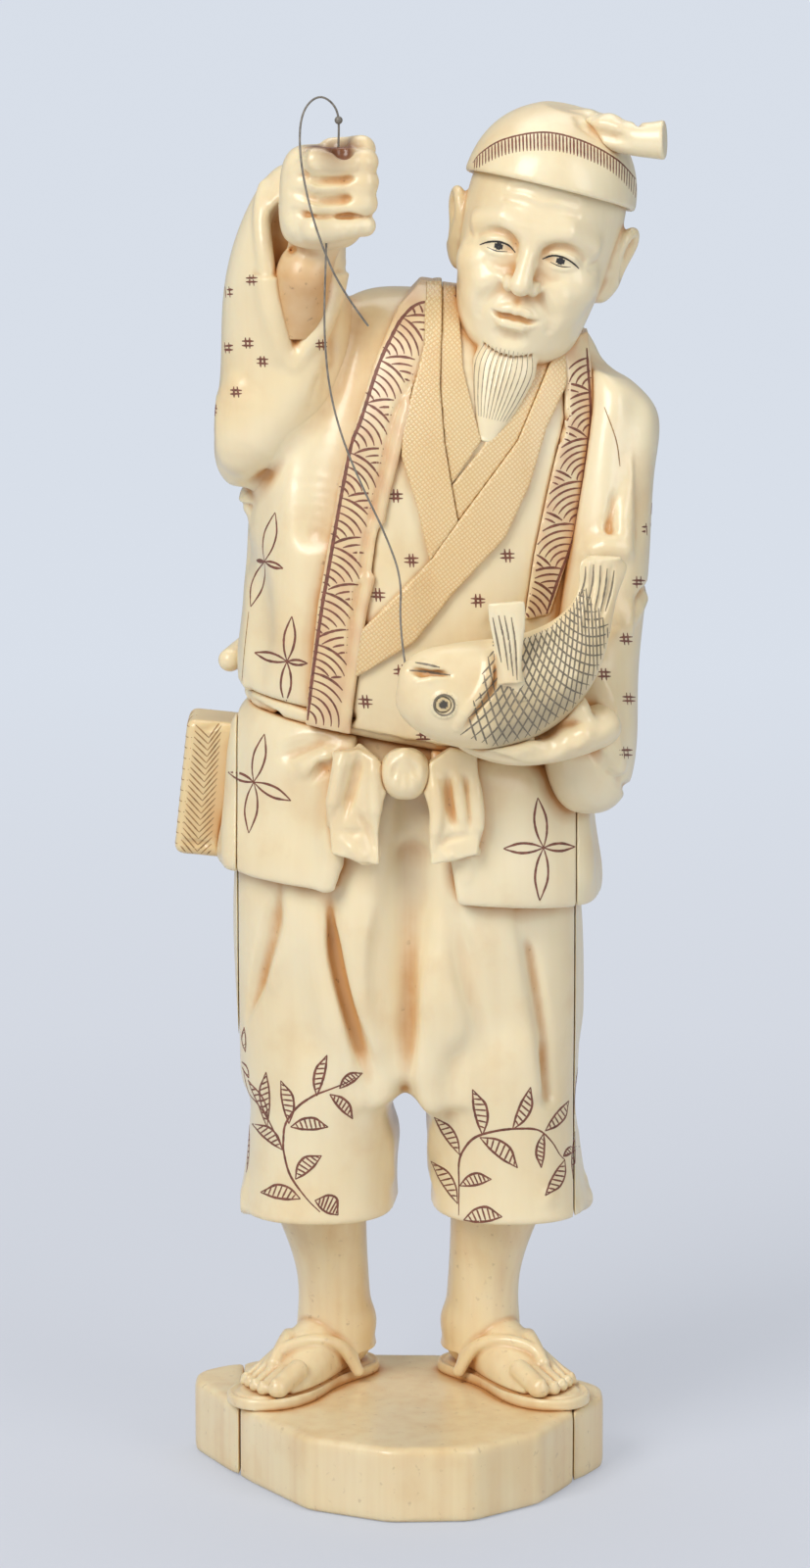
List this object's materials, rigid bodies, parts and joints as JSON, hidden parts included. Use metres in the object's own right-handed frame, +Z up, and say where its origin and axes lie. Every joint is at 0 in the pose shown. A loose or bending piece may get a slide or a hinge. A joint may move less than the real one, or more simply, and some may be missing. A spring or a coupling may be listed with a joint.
{
  "type": "carved standing figure",
  "caption": "Standing ivory fisherman with a raised fist, a springy line, a carp in the left hand and a creel, on a low plinth.",
  "frame": {"origin": "middle of the plinth's flat underside", "axes": "+Z up, the figure faces -Y, +X towards the figure's left"},
  "size_m": [0.069, 0.0569, 0.198],
  "materials": {
    "ivory": "polished carved ivory",
    "dark_inlay": "dark horn and stain",
    "line_fibre": "fine brown fibre"
  },
  "bodies": {
    "root": {"base_plinth": "ivory", "right_plinth_side": "ivory", "left_plinth_side": "ivory", "right_sandal": "ivory", "left_sandal": "ivory", "right_leg": "ivory", "left_leg": "ivory", "foot_pegs": "ivory", "breeches": "ivory", "right_breeches_side": "ivory", "left_breeches_side": "ivory", "jacket_skirt": "ivory", "right_skirt_side": "ivory", "left_skirt_side": "ivory", "sash": "ivory", "sash_knot": "ivory", "sash_tail_right": "ivory", "sash_tail_left": "ivory", "waist_peg": "ivory", "jacket_body": "ivory", "right_lapel": "ivory", "left_lapel": "ivory", "inner_robe": "ivory", "right_collar": "ivory", "left_collar": "ivory", "right_under_collar": "ivory", "left_under_collar": "ivory", "right_sleeve": "ivory", "left_sleeve": "ivory", "shoulder_pegs": "ivory", "wrist_pegs": "ivory", "right_hand": "ivory", "left_hand": "ivory", "fish": "ivory", "fish_fin": "ivory", "fish_peg": "ivory", "fish_eyes": "dark_inlay", "head": "ivory", "neck_peg": "ivory", "cap": "ivory", "cap_tail": "ivory", "creel": "ivory", "creel_peg": "ivory", "pipe_case": "ivory", "line_drop": "line_fibre", "line_loop": "line_fibre", "line_knot": "line_fibre"}
  },
  "joints": []
}
